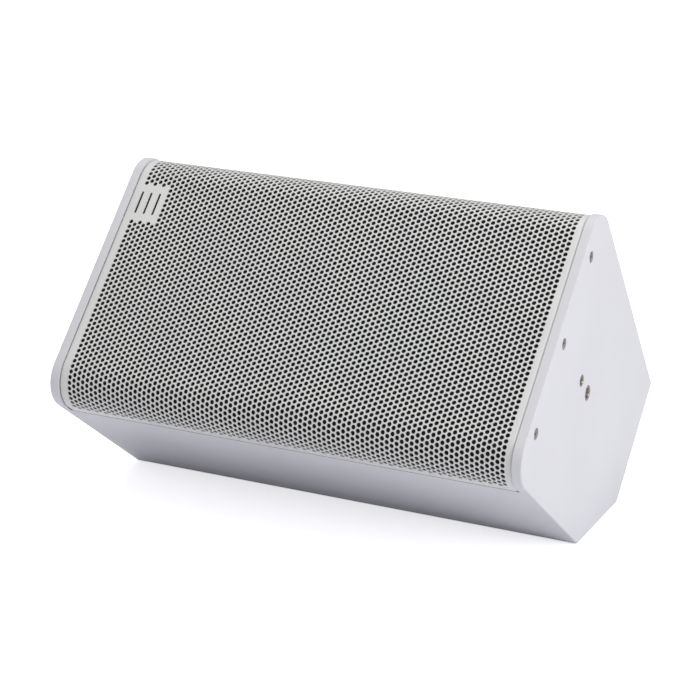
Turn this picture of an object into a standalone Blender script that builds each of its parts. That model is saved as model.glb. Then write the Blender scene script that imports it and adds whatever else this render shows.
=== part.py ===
"""Two-way loudspeaker in a wedge-shaped cabinet, lying on its rear chamfer.

Every length is in millimetres, and add_part turns it into metres. The cabinet has axes of its own:
x runs along it, s across the grille, and n out of the grille, whose flat face is n = 0. One empty
tilts them by 45 degrees, so that the chamfer lies on the ground.
"""

import math

import bmesh
import bpy
from mathutils import Matrix, Vector

MM = 0.001
GAP = 0.3  # between neighbouring pieces

# Cabinet outline, in s and n
LENGTH = 434.0
HALF_FRONT = 127.6  # half the width across the front, to the sharp corners of the outline
DEPTH = 261.6
SIDE_TAPER = 0.139  # how much narrower each side gets for each millimetre of depth
CHAMFER_REACH = 290.85  # the chamfer's plane is s + n = -CHAMFER_REACH
FRONT_RADIUS = 29.0  # the grille's rolled corners
END_RADIUS = 26.0  # the end panels' front corners, which stand a little proud of the grille
REAR_RADIUS = 3.0
CORNER_STEPS = 8
EDGE_ROUND = 1.4

# Panels
PANEL = 15.0  # end panels and front baffle
LIP = 8.5  # the part of an end panel that shows beside the grille
WALL = 12.0
WALL_FRONT = -33.5  # where the long walls begin, inside the grille's long edges
BAFFLE_FRONT = -31.0
BAFFLE_BACK = BAFFLE_FRONT - PANEL
BRACE_X = 22.0
BRACE_THICK = 12.0
BRACE_RIM = 24.0

# Grille
GRILLE_SHEET = 1.0
GRILLE_EDGE = -40.0  # where the sheet's long edges end, flush in the walls
REBATE = GRILLE_SHEET + GAP  # how deep the walls are cut back under those edges
REBATE_END = GRILLE_EDGE - 1.0  # the narrow slot below the sheet
GRILLE_SIDE_GAP = 0.5
FLANGE_REACH = -21.0  # how far the folded ends reach behind the flat face
FLANGE_HALF = 112.0  # half the width over which they stop there
FOAM_THICK = 5.0
FOAM_SHORT = 6.0  # the foam is this much shorter than the grille at each end

# Fixings in each end panel
SCREW_N = -15.0
SCREW_S = (-81.0, 0.0, 81.0)
SCREW_HEAD = 4.5
SCREW_SHANK = 2.0
SCREW_LENGTH = 10.3
COUNTERBORE = 3.0  # depth of the holes that the grille screws' heads sit in
LOCATING_N = -80.0
YOKE_N = -102.5
YOKE_RADIUS = 6.5
YOKE_BORE = 3.8
LOCATING_RADIUS = 5.0
LOCATING_BORE = 2.8
INSERT_LENGTH = 14.3
INSERT_SET_BACK = 0.2  # the inserts sit this far below the end face

# Drive units
WOOFER_X = -92.0
WOOFER_HOLE = 94.0
WOOFER_SCREW_CIRCLE = 99.0
HORN_X = 108.0
HORN_HOLE = (68.0, 55.0)
HORN_SCREW = (69.0, 56.0)
THROAT = 12.7
HORN_FRONT = -26.0
HORN_BACK = -84.0
HORN_MOUTH = (67.0, 54.0)
PORT_S = 82.5
PORT_RADIUS = 14.0
FRAME_SCREW_HEAD = 4.4
FRAME_SCREW_SHANK = 2.3

# Rear connector plate and crossover
PLATE_CENTRE = (-100.0, 28.0)
PLATE_SIZE = (120.0, 56.0)
PLATE_THICK = 2.0
PLATE_BORDER = (14.0, 8.0)  # how far the plate overlaps the opening behind it
PLATE_RECESS = 6.5  # the plate's bed lies this deep in the rear panel, so that nothing stands proud
PLATE_BED = PLATE_RECESS - DEPTH
SOCKET_OFFSETS = (-28.0, 28.0)
SOCKET_RADIUS = 12.0
PLATE_SCREW_OFFSETS = (-54.0, 54.0)
BOARD_LOW = (60.0, -14.0)
BOARD_HIGH = (180.0, 72.0)

ROUND_SIDES = 28
SMALL_SIDES = 10

FINISHES = {  # colour, roughness, metallic
    "white_paint": ((0.80, 0.80, 0.83), 0.55, 0.0),
    "grille_paint": ((0.74, 0.74, 0.73), 0.45, 0.1),
    "foam": ((0.02, 0.02, 0.022), 0.95, 0.0),
    "screw_steel": ((0.25, 0.22, 0.20), 0.35, 0.9),
    "cast_frame": ((0.06, 0.06, 0.065), 0.5, 0.5),
    "plated_steel": ((0.62, 0.61, 0.58), 0.35, 0.9),
    "ferrite": ((0.09, 0.09, 0.095), 0.75, 0.1),
    "cone_paper": ((0.05, 0.05, 0.05), 0.85, 0.0),
    "rubber": ((0.03, 0.03, 0.03), 0.7, 0.0),
    "spider_cloth": ((0.62, 0.45, 0.18), 0.9, 0.0),
    "copper": ((0.72, 0.38, 0.2), 0.35, 0.8),
    "black_plastic": ((0.035, 0.035, 0.04), 0.45, 0.0),
    "titanium": ((0.55, 0.55, 0.57), 0.3, 0.9),
    "board_green": ((0.04, 0.2, 0.09), 0.5, 0.0),
    "capacitor_film": ((0.55, 0.12, 0.04), 0.4, 0.0),
    "ceramic": ((0.85, 0.83, 0.78), 0.7, 0.0),
    "wadding": ((0.85, 0.85, 0.83), 0.98, 0.0),
    "plywood": ((0.55, 0.38, 0.2), 0.7, 0.0),
    "plate_black": ((0.04, 0.04, 0.045), 0.5, 0.6),
    "wire_red": ((0.5, 0.04, 0.03), 0.5, 0.0),
}


def clear_scene():
    for thing in list(bpy.data.objects):
        bpy.data.objects.remove(thing, do_unlink=True)


def finish(name):
    found = bpy.data.materials.get(name)
    if found:
        return found
    colour, roughness, metallic = FINISHES[name]
    made = bpy.data.materials.new(name)
    made.use_nodes = True
    shader = made.node_tree.nodes["Principled BSDF"]
    shader.inputs["Base Color"].default_value = (*colour, 1.0)
    shader.inputs["Roughness"].default_value = roughness
    shader.inputs["Metallic"].default_value = metallic
    made.diffuse_color = (*colour, 1.0)
    return made


def add_axes(name, x, parent):
    """An empty that carries a drive unit's axis, which runs along n."""
    axes = bpy.data.objects.new(name, None)
    axes.location = (x * MM, 0.0, 0.0)
    axes.parent = parent
    bpy.context.collection.objects.link(axes)
    return axes


def add_part(name, shape, material, parent):
    """Turns a bmesh in millimetres into a named object in metres."""
    bmesh.ops.recalc_face_normals(shape, faces=shape.faces)
    shape.transform(Matrix.Scale(MM, 4))
    mesh = bpy.data.meshes.new(name)
    shape.to_mesh(mesh)
    shape.free()
    mesh.materials.append(finish(material))
    mesh.shade_smooth()
    mesh.set_sharp_from_angle(angle=math.radians(35))
    part = bpy.data.objects.new(name, mesh)
    part.parent = parent
    bpy.context.collection.objects.link(part)
    return part


def cut(part, shape):
    """Cuts the closed shapes in a bmesh out of a part."""
    cutter = add_part(f"{part.name}_cutter", shape, "foam", part.parent)
    cutter.hide_render = True
    cutter.display_type = "WIRE"
    modifier = part.modifiers.new("cut", "BOOLEAN")
    modifier.operation = "DIFFERENCE"
    modifier.solver = "EXACT"
    modifier.object = cutter


def add_rings(shape, rings, closed=False):
    """Joins rings of equally many points, closed on themselves as a tube, or capped at both ends."""
    made = [[shape.verts.new(point) for point in ring] for ring in rings]
    pairs = list(zip(made, made[1:]))
    if closed:
        pairs.append((made[-1], made[0]))
    else:
        shape.faces.new(made[0])
        shape.faces.new(made[-1])
    for low, high in pairs:
        for i in range(len(low)):
            j = (i + 1) % len(low)
            shape.faces.new((low[i], low[j], high[j], high[i]))


def circle(radius, height, sides=ROUND_SIDES, centre=(0.0, 0.0)):
    turns = [2 * math.pi * i / sides for i in range(sides)]
    return [(centre[0] + radius * math.cos(a), centre[1] + radius * math.sin(a), height) for a in turns]


def squircle(half_x, half_s, height, power, sides=24):
    """A ring between an ellipse (power 2) and a rounded rectangle (power 5 and up)."""
    ring = []
    for i in range(sides):
        turn = 2 * math.pi * (i + 0.5) / sides
        c, s = math.cos(turn), math.sin(turn)
        across = math.copysign(abs(c) ** (2 / power), c)
        up = math.copysign(abs(s) ** (2 / power), s)
        ring.append((half_x * across, half_s * up, height))
    return ring


def turned(profile, closed=True, sides=ROUND_SIDES):
    """A turned shape from (radius, n) points: a ring where closed, or capped on the axis."""
    shape = bmesh.new()
    add_rings(shape, [circle(radius, n, sides) for radius, n in profile], closed)
    return shape


def add_pin(shape, centre, radius, low, high, sides=SMALL_SIDES):
    """A cylinder along n."""
    add_rings(shape, [circle(radius, low, sides, centre), circle(radius, high, sides, centre)])


def add_cross_pin(shape, s, n, radius, low, high, sides=SMALL_SIDES):
    """A cylinder along x."""
    ends = [[(x, s + a, n + b) for a, b, _ in circle(radius, 0.0, sides)] for x in (low, high)]
    add_rings(shape, ends)


def add_box(shape, low, high):
    corners = ((low[0], low[1]), (high[0], low[1]), (high[0], high[1]), (low[0], high[1]))
    add_rings(shape, [[(x, s, n) for x, s in corners] for n in (low[2], high[2])])


def box(low, high):
    shape = bmesh.new()
    add_box(shape, low, high)
    return shape


def side_at(n, inset=0.0):
    """s of the upper side wall's face at depth n, moved inwards by inset."""
    return HALF_FRONT + SIDE_TAPER * n - inset * math.hypot(1.0, SIDE_TAPER)


def corners(inset=0.0, front=0.0):
    """The outline's corners, upper front first and clockwise, moved inwards by inset, from depth front."""
    rear = inset - DEPTH
    reach = CHAMFER_REACH - inset * math.sqrt(2)
    meet = (side_at(0.0, inset) - reach) / (1.0 - SIDE_TAPER)  # n where the chamfer meets the side
    return [
        Vector((side_at(front, inset), front)),
        Vector((side_at(rear, inset), rear)),
        Vector((-reach - rear, rear)),
        Vector((-side_at(meet, inset), meet)),
        Vector((-side_at(front, inset), front)),
    ]


def corner_arc(before, corner, after, radius, steps):
    """Points of the round between two straight sides, from the first to the second."""
    one = (before - corner).normalized()
    two = (after - corner).normalized()
    half = one.angle(two) / 2
    middle = corner + (one + two).normalized() * (radius / math.sin(half))
    start = (corner + one * (radius / math.tan(half))) - middle
    end = (corner + two * (radius / math.tan(half))) - middle
    sweep = start.angle_signed(end)
    points = []
    for i in range(steps + 1):
        turn = -sweep * i / steps
        c, s = math.cos(turn), math.sin(turn)
        points.append(middle + Vector((start.x * c - start.y * s, start.x * s + start.y * c)))
    return points


def corner_arcs(inset=0.0, steps=CORNER_STEPS, front_radius=FRONT_RADIUS):
    """The five rounded corners of the outline, each a list of points."""
    sharp = corners(inset, -inset)
    radii = [front_radius, REAR_RADIUS, REAR_RADIUS, REAR_RADIUS, front_radius]
    arcs = []
    for i, radius in enumerate(radii):
        before, after = sharp[i - 1], sharp[(i + 1) % len(sharp)]
        arcs.append(corner_arc(before, sharp[i], after, radius - inset, steps))
    return arcs


def end_outline(x, inset=0.0):
    """An end panel's outline as a ring at x."""
    return [(x, point.x, point.y) for arc in corner_arcs(inset, CORNER_STEPS, END_RADIUS) for point in arc]


def prism(points, low, high):
    """A solid along x over an outline of (s, n) points."""
    shape = bmesh.new()
    add_rings(shape, [[(x, s, n) for s, n in points] for x in (low, high)])
    return shape


def end_panel(name, side, parent):
    """The panel with its rounded outer edge, its rebate for the grille and its drilled holes."""
    outer, inner = LENGTH / 2, LENGTH / 2 - PANEL
    rings = []
    for i in range(4):
        turn = math.radians(30 * i)
        lost = EDGE_ROUND * (1 - math.sin(turn))
        rings.append(end_outline(side * (outer - EDGE_ROUND * (1 - math.cos(turn))), lost))
    rings.append(end_outline(side * inner))
    shape = bmesh.new()
    add_rings(shape, rings)
    panel = add_part(name, shape, "white_paint", parent)
    step = sorted((side * (inner - 2), side * (outer - LIP)))
    cut(panel, box((step[0], -HALF_FRONT - 5, WALL_FRONT), (step[1], HALF_FRONT + 5, 10.0)))
    rebates = bmesh.new()
    beyond = HALF_FRONT + 5
    for i in (-1, 1):
        edges = [(side_at(REBATE_END, REBATE), REBATE_END), (beyond, REBATE_END), (beyond, WALL_FRONT + 1)]
        edges.append((side_at(WALL_FRONT + 1, REBATE), WALL_FRONT + 1))
        add_rings(rebates, [[(x, i * s, n) for s, n in edges] for x in step])
    cut(panel, rebates)
    holes = bmesh.new()
    for s in SCREW_S:
        floor = outer - COUNTERBORE
        drilled = [(SCREW_SHANK + GAP, inner), (SCREW_SHANK + GAP, floor), (SCREW_HEAD + GAP, floor)]
        drilled.append((SCREW_HEAD + GAP, outer + 2))
        holes_across = [(x, circle(r, 0, SMALL_SIDES)) for r, x in drilled]
        add_rings(holes, [[(side * x, s + a, SCREW_N + b) for a, b, _ in ring] for x, ring in holes_across])
    for n, radius in ((YOKE_N, YOKE_RADIUS), (LOCATING_N, LOCATING_RADIUS)):
        add_cross_pin(holes, 0.0, n, radius + GAP, side * (inner - 2), side * (outer + 2), 12)
    cut(panel, holes)


def long_panels(parent):
    """The four panels between the end panels, mitred where they meet."""
    reach = LENGTH / 2 - PANEL - GAP
    outer = corner_arcs(0.0, 4)
    inner = corners(WALL)
    front = [
        Vector((side_at(WALL_FRONT, WALL), WALL_FRONT)),
        Vector((side_at(WALL_FRONT, REBATE), WALL_FRONT)),
        Vector((side_at(REBATE_END, REBATE), REBATE_END)),
        Vector((side_at(REBATE_END), REBATE_END)),
    ]
    lower_front = [Vector((-point.x, point.y)) for point in reversed(front)]
    middle = [arc[2] for arc in outer]
    pieces = {
        "upper_wall": ([outer[1][0], outer[1][1], middle[1]], [inner[1]]),
        "rear_panel": ([middle[1], outer[1][3], outer[1][4], outer[2][0], outer[2][1], middle[2]],
                       [inner[2], inner[1]]),
        "chamfer_panel": ([middle[2], outer[2][3], outer[2][4], outer[3][0], outer[3][1], middle[3]],
                          [inner[3], inner[2]]),
        "lower_wall": ([middle[3], outer[3][3], outer[3][4]], [inner[3]]),
    }
    walls = {}
    for name, (outside, inside) in pieces.items():
        outside = [point.copy() for point in outside]
        inside = [point.copy() for point in inside]
        if name == "upper_wall":
            along = (outside[0] - front[-1]).normalized()
            outside[-1] -= along * GAP
            inside[0] -= along * GAP
            points = [*front, *outside, *inside]
        elif name == "lower_wall":
            along = (outside[-1] - lower_front[0]).normalized()
            outside[0] -= along * GAP
            inside[0] -= along * GAP
            points = [*outside, *lower_front, *inside]
        else:
            along = (outside[3] - outside[2]).normalized()
            outside[0] += along * GAP
            inside[1] += along * GAP
            outside[-1] -= along * GAP
            inside[0] -= along * GAP
            points = [*outside, *inside]
        walls[name] = add_part(name, prism(points, -reach, reach), "white_paint", parent)
    x, s = PLATE_CENTRE
    half_x, half_s = PLATE_SIZE[0] / 2 + GAP, PLATE_SIZE[1] / 2 + GAP
    bed = box((x - half_x, s - half_s, -DEPTH - 3), (x + half_x, s + half_s, PLATE_BED))
    cut(walls["rear_panel"], bed)
    cut(walls["rear_panel"], rear_cut_out())


def rear_cut_out():
    """The opening behind the connector plate, and the plate's screw holes."""
    shape = bmesh.new()
    x, s = PLATE_CENTRE
    deep, out = WALL - DEPTH + 3, -DEPTH - 3
    half_x, half_s = PLATE_SIZE[0] / 2 - PLATE_BORDER[0], PLATE_SIZE[1] / 2 - PLATE_BORDER[1]
    add_box(shape, (x - half_x, s - half_s, out), (x + half_x, s + half_s, deep))
    for offset in PLATE_SCREW_OFFSETS:
        add_pin(shape, (x + offset, s), 1.8 + GAP, out, deep)
    return shape


def woofer_fixings(axis_x=0.0):
    """The centres of the woofer's four screws."""
    turns = [math.radians(45 + 90 * i) for i in range(4)]
    return [(axis_x + WOOFER_SCREW_CIRCLE * math.cos(a), WOOFER_SCREW_CIRCLE * math.sin(a)) for a in turns]


def horn_fixings(axis_x=0.0):
    """The centres of the horn's four screws."""
    x, s = HORN_SCREW
    return [(axis_x + i * x, j * s) for i in (-1, 1) for j in (-1, 1)]


def add_screw_holes(shape, centres, low, high):
    for centre in centres:
        add_pin(shape, centre, FRAME_SCREW_SHANK + GAP, low, high)


def front_baffle(parent):
    """The board that carries the drive units, in the taper between the long walls."""
    reach = LENGTH / 2 - PANEL - GAP
    rings = []
    for n in (BAFFLE_FRONT, BAFFLE_BACK):
        half = side_at(n, WALL + GAP)
        rings.append([(-reach, -half, n), (reach, -half, n), (reach, half, n), (-reach, half, n)])
    shape = bmesh.new()
    add_rings(shape, rings)
    baffle = add_part("front_baffle", shape, "plywood", parent)
    low, high = BAFFLE_BACK - 3, BAFFLE_FRONT + 3
    holes = bmesh.new()
    add_pin(holes, (WOOFER_X, 0.0), WOOFER_HOLE, low, high, ROUND_SIDES)
    add_screw_holes(holes, woofer_fixings(WOOFER_X) + horn_fixings(HORN_X), low, high)
    opening = [squircle(*HORN_HOLE, n, 5) for n in (low, high)]
    add_rings(holes, [[(HORN_X + x, s, n) for x, s, n in ring] for ring in opening])
    for s in (-PORT_S, PORT_S):
        add_pin(holes, (HORN_X, s), PORT_RADIUS + 2 + GAP, low, high, 20)
    cut(baffle, holes)


def window_brace(parent):
    """A ring of board round the inside of the cabinet, between the two drive units."""
    low, high = BRACE_X - BRACE_THICK / 2, BRACE_X + BRACE_THICK / 2
    outside = corners(WALL + GAP, BAFFLE_BACK - GAP)
    inside = corners(WALL + BRACE_RIM, BAFFLE_BACK - BRACE_RIM)
    rings = []
    for points, x in ((outside, low), (outside, high), (inside, high), (inside, low)):
        rings.append([(x, point.x, point.y) for point in points])
    shape = bmesh.new()
    add_rings(shape, rings, closed=True)
    add_part("window_brace", shape, "plywood", parent)


def rolled_strip(inset, edge, steps=CORNER_STEPS):
    """Points across the front, round both front corners and down both sides, between depths edge."""
    arcs = corner_arcs(inset, steps)
    last = side_at(edge, inset)
    return [Vector((last, edge)), *reversed(arcs[0]), *reversed(arcs[-1]), Vector((-last, edge))]


def grille(parent):
    """The rolled sheet with its two folded ends, as one tray."""
    half = LENGTH / 2 - LIP - GRILLE_SIDE_GAP
    shape = prism(rolled_strip(0.0, GRILLE_EDGE), -half, half)
    sheet = add_part("grille", shape, "grille_paint", parent)
    hollow = prism(rolled_strip(GRILLE_SHEET, GRILLE_EDGE - 5), GRILLE_SHEET - half, half - GRILLE_SHEET)
    cut(sheet, hollow)
    ends = bmesh.new()
    top, low = WALL_FRONT + GAP, GRILLE_EDGE - 5
    relief = GRILLE_SHEET - 0.1
    profile = [(FLANGE_HALF, FLANGE_REACH), (FLANGE_HALF, top)]
    profile += [(side_at(n, relief), n) for n in (top, low)]
    profile += [(-s, n) for s, n in reversed(profile)]
    for side in (-1, 1):
        span = sorted((side * (half - GRILLE_SHEET - 1), side * (half + 1)))
        add_rings(ends, [[(x, s, n) for s, n in profile] for x in span])
        for s in SCREW_S:
            add_cross_pin(ends, s, SCREW_N, SCREW_SHANK + GAP, side * (half - 3), side * (half + 1))
    cut(sheet, ends)


def grille_foam(parent):
    """The dark foam that backs the whole grille."""
    half = LENGTH / 2 - LIP - FOAM_SHORT
    outer = rolled_strip(GRILLE_SHEET + GAP, WALL_FRONT + GAP)
    inner = rolled_strip(GRILLE_SHEET + GAP + FOAM_THICK, WALL_FRONT + GAP)
    add_part("grille_foam", prism([*outer, *reversed(inner)], -half, half), "foam", parent)


def end_fixings(parent):
    """The grille screws and the two threaded inserts in each end panel."""
    outer = LENGTH / 2
    for label, side in (("right", 1), ("left", -1)):
        for i, s in enumerate(SCREW_S, 1):
            under_head = outer - COUNTERBORE + GAP
            profile = ((SCREW_SHANK, under_head - SCREW_LENGTH), (SCREW_SHANK, under_head),
                       (SCREW_HEAD, under_head), (SCREW_HEAD, outer - 0.8), (SCREW_HEAD - 0.7, outer - GAP))
            across = [(x, circle(r, 0, SMALL_SIDES)) for r, x in profile]
            shape = bmesh.new()
            add_rings(shape, [[(side * x, s + a, SCREW_N + b) for a, b, _ in ring] for x, ring in across])
            add_part(f"grille_screw_{label}_{i}", shape, "screw_steel", parent)
        for name, n, radius, bore in (("yoke_insert", YOKE_N, YOKE_RADIUS, YOKE_BORE),
                                      ("locating_insert", LOCATING_N, LOCATING_RADIUS, LOCATING_BORE)):
            mouth = outer - INSERT_SET_BACK
            deep = mouth - INSERT_LENGTH
            wall = ((radius, deep), (radius, mouth), (bore, mouth), (bore, deep))
            rings = [[(side * x, a, n + b) for a, b, _ in circle(r, 0, 12)] for r, x in wall]
            shape = bmesh.new()
            add_rings(shape, rings, closed=True)
            add_part(f"{name}_{label}", shape, "screw_steel", parent)


def woofer(axis):
    """The 8-inch unit, from its gasket to its magnet, about its own axis."""
    gasket = add_part("woofer_gasket", turned([(96, -30.7), (104.5, -30.7), (104.5, -29.3), (96, -29.3)]),
                      "rubber", axis)
    holes = bmesh.new()
    add_screw_holes(holes, woofer_fixings(), -33, -27)
    cut(gasket, holes)
    woofer_basket(axis)
    woofer_motor(axis)
    woofer_soft_parts(axis)
    for i, centre in enumerate(woofer_fixings(), 1):
        add_part(f"woofer_screw_{i}", frame_screw(centre, -25.2), "screw_steel", axis)


def frame_screw(centre, under_head):
    """A button-head screw along n."""
    profile = ((FRAME_SCREW_SHANK, under_head - 20), (FRAME_SCREW_SHANK, under_head),
               (FRAME_SCREW_HEAD, under_head), (FRAME_SCREW_HEAD - 1, under_head + 2.4))
    shape = bmesh.new()
    add_rings(shape, [circle(radius, n, SMALL_SIDES, centre) for radius, n in profile])
    return shape


def woofer_basket(axis):
    outside = [(105, -25.5), (105, -29.0), (93.4, -29.0), (93, -42), (65, -77), (65, -92)]
    inside = [(34, -92), (34, -89), (58.5, -89), (58.5, -77.5), (61.5, -77.5), (61.5, -75), (89.5, -40),
              (89.5, -28), (92, -28), (92, -25.5)]
    basket = add_part("woofer_basket", turned(outside + inside), "cast_frame", axis)
    holes = bmesh.new()
    add_screw_holes(holes, woofer_fixings(), -33, -20)
    for i in range(6):
        window = bmesh.new()
        add_box(window, (56, -22, -73), (110, 22, -45))
        window.transform(Matrix.Rotation(math.radians(60 * i + 30), 4, "Z"))
        mesh = bpy.data.meshes.new("window")
        window.to_mesh(mesh)
        holes.from_mesh(mesh)
        window.free()
        bpy.data.meshes.remove(mesh)
    cut(basket, holes)


def woofer_motor(axis):
    top_plate = [(27.2, -98.3), (62, -98.3), (62, -92.3), (27.2, -92.3)]
    add_part("woofer_top_plate", turned(top_plate), "plated_steel", axis)
    magnet = [(32, -116.6), (66, -116.6), (66, -98.6), (32, -98.6)]
    add_part("woofer_magnet", turned(magnet), "ferrite", axis)
    yoke = [(8, -122.9), (64, -122.9), (64, -116.9), (24.6, -116.9), (24.6, -92.5), (8, -92.5)]
    add_part("woofer_yoke", turned(yoke), "plated_steel", axis)


def woofer_soft_parts(axis):
    """Cone, dust cap and voice coil, which move, with the surround and spider that hold them."""
    cone = [(71.2, -27.8), (71.2, -26.6), (48, -49.5), (26.6, -65.2), (26.6, -67.0), (48, -51.0)]
    add_part("woofer_cone", turned(cone), "cone_paper", axis)
    cap = [(33, -58.6), (22, -53.6), (11, -50.8), (1, -50.0)]
    back = [(radius, n - 0.9) for radius, n in reversed(cap)]
    add_part("woofer_dust_cap", turned(back + cap, closed=True), "cone_paper", axis)
    coil = [(25.3, -100), (26.3, -100), (26.3, -60), (25.3, -60)]
    add_part("woofer_voice_coil", turned(coil), "copper", axis)
    centre, wall = 79.8, 0.8
    turns = [math.pi * i / 5 for i in range(6)]
    over = [(centre + 6.0 * math.cos(a), -26.8 + 6.0 * math.sin(a)) for a in turns]
    under = [(centre + 5.2 * math.cos(a), -26.8 - wall + 6.0 * math.sin(a)) for a in reversed(turns)]
    roll = [(91.6, -26.8 - wall), (91.6, -26.8), *over, (71.5, -26.8), (71.5, -26.8 - wall), *under]
    add_part("woofer_surround", turned(roll), "rubber", axis)
    waves = 5
    tops = [(60.8, -76.4)]
    for i in range(waves):
        tops.append((57 - i * (57 - 29) / (waves - 1), -76.4 + (1.2 if i % 2 else -0.2)))
    tops.append((26.7, -76.4))
    bottoms = [(radius, n - wall) for radius, n in reversed(tops)]
    add_part("woofer_spider", turned(tops + bottoms), "spider_cloth", axis)


def horn(axis):
    """The waveguide: a flange, and a mouth that narrows to the round throat."""
    flare = [i / 5 for i in range(6)]
    inner, outer = [], []
    for t in flare:
        n = HORN_BACK + t * (HORN_FRONT - HORN_BACK)
        a = THROAT + (HORN_MOUTH[0] - THROAT) * t**1.5
        b = THROAT + (HORN_MOUTH[1] - THROAT) * t**1.5
        inner.append(squircle(a, b, n, 2 + 3 * t))
        if 0.05 < t < 0.9:
            outer.append(squircle(a + 3, b + 3, n, 2 + 3 * t))
    body = squircle(HORN_HOLE[0] - 2.5, HORN_HOLE[1] - 2.5, HORN_FRONT - 4.7, 5)
    rings = [squircle(75, 62, HORN_FRONT, 14), squircle(75, 62, HORN_FRONT - 4.7, 14), body]
    rings += reversed(outer)
    rings += [squircle(34, 34, HORN_BACK + 4, 2), squircle(34, 34, HORN_BACK, 2)]
    rings += inner
    shape = bmesh.new()
    add_rings(shape, rings, closed=True)
    part = add_part("horn", shape, "black_plastic", axis)
    holes = bmesh.new()
    add_screw_holes(holes, horn_fixings(), HORN_FRONT - 8, HORN_FRONT + 3)
    cut(part, holes)
    for i, centre in enumerate(horn_fixings(), 1):
        add_part(f"horn_screw_{i}", frame_screw(centre, HORN_FRONT + GAP), "screw_steel", axis)


def compression_driver(axis):
    """The high-frequency unit behind the horn's throat."""
    front = HORN_BACK - GAP
    pole = [(THROAT, front), (40, front), (40, front - 5), (20.4, front - 5), (20.4, -108), (9, -108)]
    add_part("hf_pole_piece", turned(pole), "plated_steel", axis)
    magnet = [(24, -102.6), (40, -102.6), (40, -89.6), (24, -89.6)]
    add_part("hf_magnet", turned(magnet), "ferrite", axis)
    plate = [(22.4, -107.9), (40, -107.9), (40, -102.9), (22.4, -102.9)]
    add_part("hf_top_plate", turned(plate), "plated_steel", axis)
    outside = [(1, -118.0), (12, -116.2), (21.7, -111.5), (21.7, -103)]
    inside = [(20.9, -103), (20.9, -110.6), (12, -115.2), (1, -117.0)]
    add_part("hf_diaphragm", turned(outside + inside, closed=True), "titanium", axis)
    cover = [(36, -122), (36, -108.2), (40, -108.2), (40, -123), (37, -126)]
    add_part("hf_rear_cover", turned(cover, closed=False), "black_plastic", axis)


def port_tubes(axis):
    """The two bass-reflex tubes beside the horn."""
    for name, s in (("port_tube_upper", PORT_S), ("port_tube_lower", -PORT_S)):
        wall = PORT_RADIUS + 2
        profile = [(wall + 3, -28.0), (wall + 3, -30.7), (wall, -30.7), (wall, -110), (PORT_RADIUS, -110),
                   (PORT_RADIUS, -33), (wall, -28.0)]
        shape = bmesh.new()
        add_rings(shape, [circle(radius, n, 20, (0.0, s)) for radius, n in profile], closed=True)
        add_part(name, shape, "black_plastic", axis)


def connector_plate(parent):
    """The plate on the rear panel, its two twist-lock sockets and its screws."""
    x, s = PLATE_CENTRE
    half_x, half_s = PLATE_SIZE[0] / 2, PLATE_SIZE[1] / 2
    face = PLATE_BED - GAP
    plate = add_part("connector_plate", box((x - half_x, s - half_s, face - PLATE_THICK),
                                            (x + half_x, s + half_s, face)), "plate_black", parent)
    holes = bmesh.new()
    for offset in SOCKET_OFFSETS:
        add_pin(holes, (x + offset, s), SOCKET_RADIUS + GAP, face - 5, face + 3, 20)
    for offset in PLATE_SCREW_OFFSETS:
        add_pin(holes, (x + offset, s), 1.8 + GAP, face - 5, face + 3)
    cut(plate, holes)
    outside = face - PLATE_THICK - GAP
    profile = ((9.5, outside + 19), (9.5, outside - 3), (15, outside - 3), (15, outside),
               (SOCKET_RADIUS, outside), (SOCKET_RADIUS, outside + 24))
    for name, offset in zip(("socket_in", "socket_link"), SOCKET_OFFSETS):
        shape = bmesh.new()
        add_rings(shape, [circle(radius, n, 20, (x + offset, s)) for radius, n in profile])
        add_part(name, shape, "black_plastic", parent)
    screw = ((1.8, outside + 14), (1.8, outside), (3.5, outside), (2.8, outside - 2))
    for i, offset in enumerate(PLATE_SCREW_OFFSETS, 1):
        shape = bmesh.new()
        add_rings(shape, [circle(radius, n, SMALL_SIDES, (x + offset, s)) for radius, n in screw])
        add_part(f"plate_screw_{i}", shape, "screw_steel", parent)


def crossover(parent):
    """The filter board on the inside of the rear panel, and what is soldered to it."""
    floor = WALL - DEPTH + GAP
    top = floor + 3 + GAP + 1.6
    add_part("crossover_pad", box((BOARD_LOW[0] + 8, BOARD_LOW[1] + 8, floor),
                                  (BOARD_HIGH[0] - 8, BOARD_HIGH[1] - 8, floor + 3)), "foam", parent)
    board = box((*BOARD_LOW, floor + 3 + GAP), (*BOARD_HIGH, top))
    add_part("crossover_board", board, "board_green", parent)
    seat = top + GAP
    for name, centre, inner, outer, tall in (("crossover_low_inductor", (88, 40), 11, 23, 22),
                                             ("crossover_high_inductor", (150, 52), 6, 13, 14)):
        profile = ((outer, seat), (outer, seat + tall), (inner, seat + tall), (inner, seat))
        shape = bmesh.new()
        add_rings(shape, [circle(radius, n, 20, centre) for radius, n in profile], closed=True)
        add_part(name, shape, "copper", parent)
    shape = bmesh.new()
    add_cross_pin(shape, 20, seat + 9, 9, 124, 158, 16)
    add_part("crossover_capacitor", shape, "capacitor_film", parent)
    add_part("crossover_resistor", box((70, -9, seat), (112, 2, seat + 9)), "ceramic", parent)


def damping_lining(parent):
    """Wadding along the inside of the chamfer, behind the woofer."""
    inner = corners(WALL + 1)
    upper = corners(WALL + 19)
    along = (inner[3] - inner[2]).normalized()
    points = [inner[2] + along * 6, inner[3] - along * 6, upper[3] - along * 10, upper[2] + along * 10]
    low, high = 8 - LENGTH / 2 + PANEL, BRACE_X - BRACE_THICK / 2 - 6
    add_part("damping_lining", prism(points, low, high), "wadding", parent)


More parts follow.
